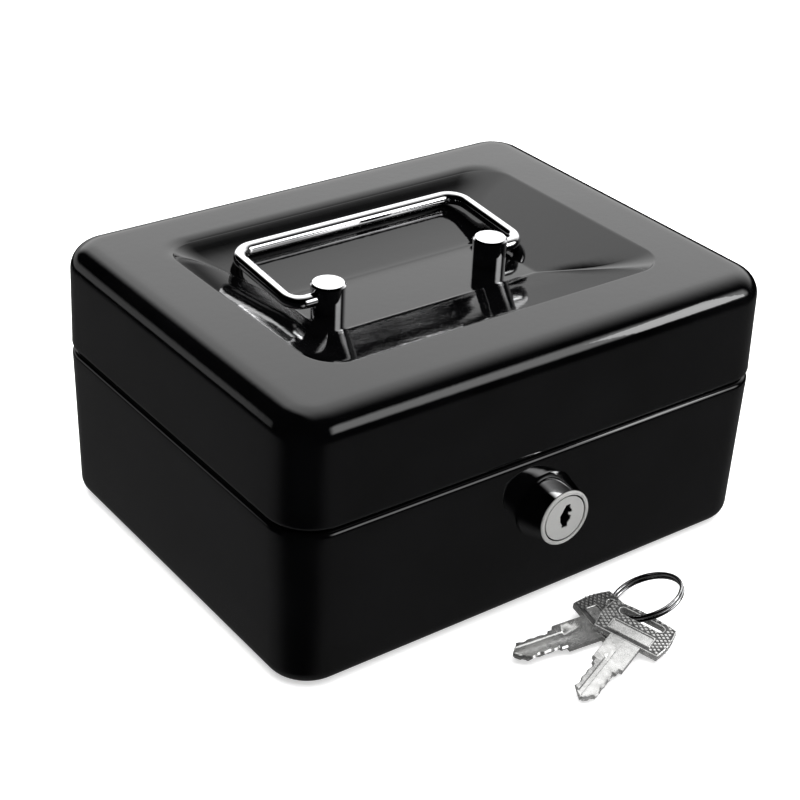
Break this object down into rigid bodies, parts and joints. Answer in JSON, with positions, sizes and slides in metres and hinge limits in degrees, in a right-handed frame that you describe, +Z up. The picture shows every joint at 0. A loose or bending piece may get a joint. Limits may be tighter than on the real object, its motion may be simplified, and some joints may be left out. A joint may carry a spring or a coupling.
{
  "type": "lockable cash box",
  "caption": "Lockable steel cash box with a hinged recessed lid, folding bail handle, cam lock, lift-out coin tray and a ring of flat keys.",
  "frame": {"origin": "middle of the flat underside, on the surface that the box stands on", "axes": "+Z up, -Y is the front wall with the lock, +X is to the right seen from the front"},
  "size_m": [0.152, 0.1625, 0.0754],
  "materials": {
    "black_paint": "high-gloss stoved black paint on sheet steel, faint orange peel",
    "chrome": "bright chrome plating",
    "nickel": "satin nickel plating",
    "zinc_plate": "bright zinc plating",
    "brass": "plain stamped brass",
    "spring_steel": "bright drawn wire",
    "black_plastic": "moulded black plastic, fine matt grain"
  },
  "bodies": {
    "box": {"base_shell": "black_paint", "hinge_leaf_base": "zinc_plate", "hinge_rivets_base": "zinc_plate", "hinge_pin": "zinc_plate", "lock_body": "chrome", "lock_washer": "zinc_plate", "lock_nut": "zinc_plate"},
    "lid": {"lid_shell": "black_paint", "hinge_leaf_lid": "zinc_plate", "hinge_rivets_lid": "zinc_plate", "strike_plate": "zinc_plate", "handle_post_left": "chrome", "handle_post_right": "chrome", "post_screws": "zinc_plate", "post_washers": "zinc_plate"},
    "handle": {"handle_bail": "chrome"},
    "lock_core": {"lock_plug": "nickel", "lock_wafers": "brass", "wafer_springs": "spring_steel", "lock_cam": "zinc_plate", "cam_washer": "zinc_plate", "cam_screw": "zinc_plate"},
    "tray": {"coin_tray": "black_plastic"},
    "key_set": {"key_front": "nickel", "key_rear": "nickel", "key_ring": "spring_steel"}
  },
  "joints": [
    {"name": "lid_hinge", "type": "hinge", "parent": "box", "child": "lid", "pos_m": [0, 0.0615, 0.0454], "axis": [-1, 0, 0], "range_deg": [0, 105]},
    {"name": "handle_swing", "type": "hinge", "parent": "lid", "child": "handle", "pos_m": [0, 0.0017, 0.0698], "axis": [1, 0, 0], "range_deg": [0, 160]},
    {"name": "lock_turn", "type": "hinge", "parent": "box", "child": "lock_core", "pos_m": [0, -0.059, 0.03], "axis": [0, 1, 0], "range_deg": [0, 90]},
    {"name": "tray_lift", "type": "slide", "parent": "box", "child": "tray", "axis": [0, 0, 1], "range_m": [0, 0.015]},
    {"name": "key_set_lift", "type": "slide", "parent": "box", "child": "key_set", "axis": [0, -0.6, 0.8], "range_m": [0, 0.08]}
  ]
}
